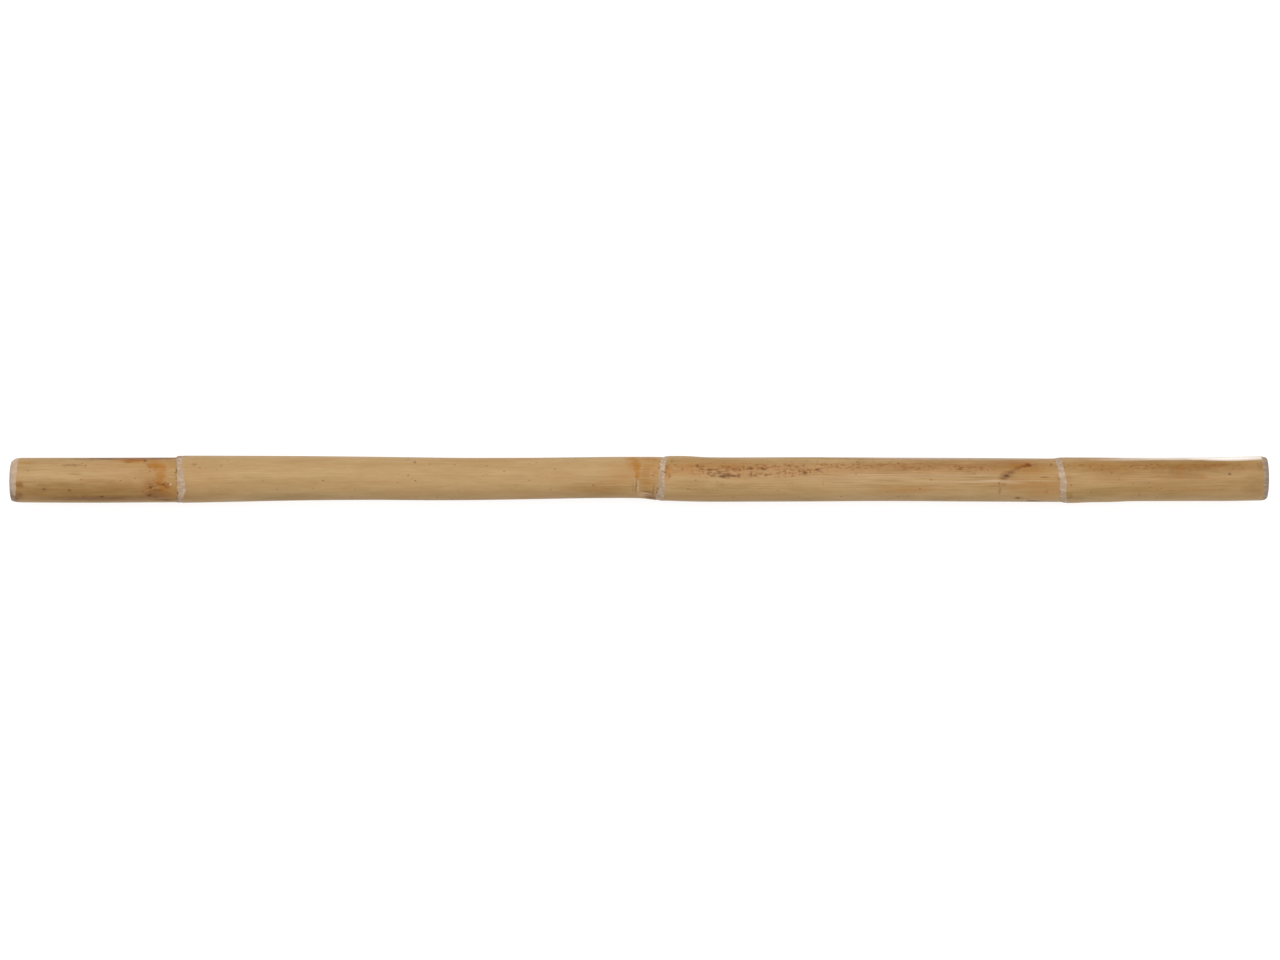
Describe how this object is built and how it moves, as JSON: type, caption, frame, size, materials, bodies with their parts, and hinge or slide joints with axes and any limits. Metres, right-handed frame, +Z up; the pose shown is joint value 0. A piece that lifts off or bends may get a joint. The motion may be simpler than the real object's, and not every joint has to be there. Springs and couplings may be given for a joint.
{
  "type": "rattan cane",
  "caption": "Straight, solid, skin-on length of rattan stem with trimmed oblique nodes and bevelled sawn ends, lying on its flatter side.",
  "frame": {"origin": "on the surface that the cane lies on, under the middle of its length and width", "axes": "+X along the cane, from the end next to the short first internode to the other end; +Z up; +Y to the side"},
  "size_m": [0.71, 0.027, 0.026],
  "materials": {
    "rattan_skin": "satin natural skin, pale sanded nodes and ends"
  },
  "bodies": {
    "root": {"cane": "rattan_skin"}
  },
  "joints": []
}
